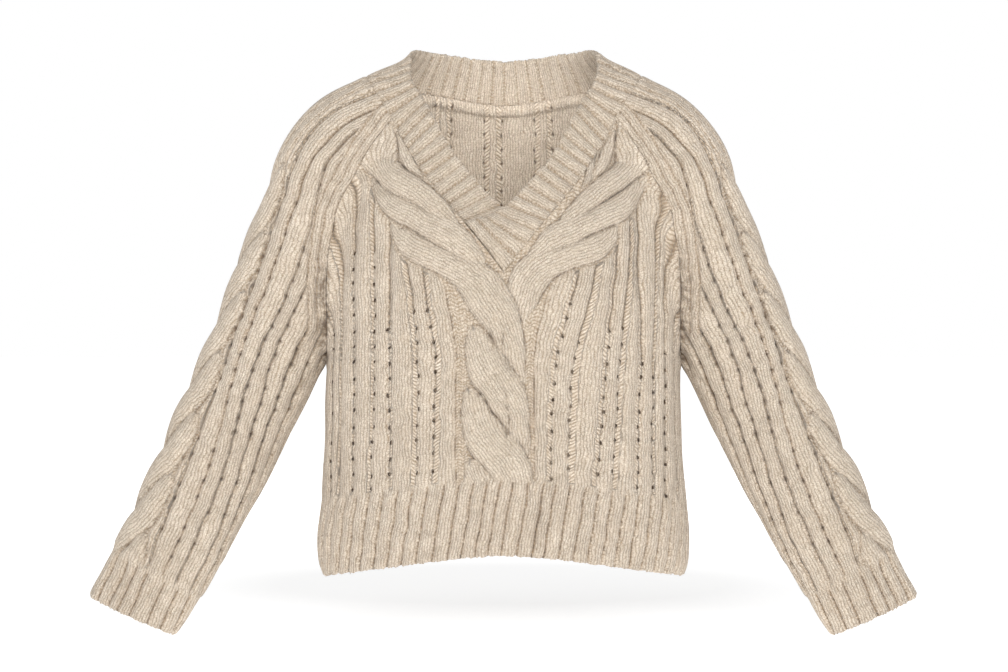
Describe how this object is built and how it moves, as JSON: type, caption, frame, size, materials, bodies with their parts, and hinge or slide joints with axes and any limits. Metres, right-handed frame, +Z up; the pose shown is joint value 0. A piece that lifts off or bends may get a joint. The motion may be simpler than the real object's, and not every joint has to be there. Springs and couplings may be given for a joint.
{
  "type": "v-neck cable-knit sweater",
  "caption": "Chunky cable-knit V-neck sweater with raglan sleeves and ribbed hem, cuffs and crossed neckband, filled out and hollow as if worn.",
  "frame": {"origin": "middle of the neck opening, level with the shoulder end of the collar seam, where the wearer holds it", "axes": "+Z up along the wearer's neck, -Y out of the front, +X towards the wearer's left sleeve"},
  "size_m": [0.891, 0.2377, 0.6342],
  "materials": {
    "cable_knit": "matt heathered oatmeal wool, chunky cable and ladder knit",
    "rib_knit": "matt heathered oatmeal wool, ribbed"
  },
  "bodies": {
    "root": {"front": "cable_knit", "back": "cable_knit", "sleeve_left": "cable_knit", "sleeve_right": "cable_knit", "neckband": "rib_knit", "hem_rib_front": "rib_knit", "hem_rib_back": "rib_knit", "cuff_left": "rib_knit", "cuff_right": "rib_knit"}
  },
  "joints": []
}
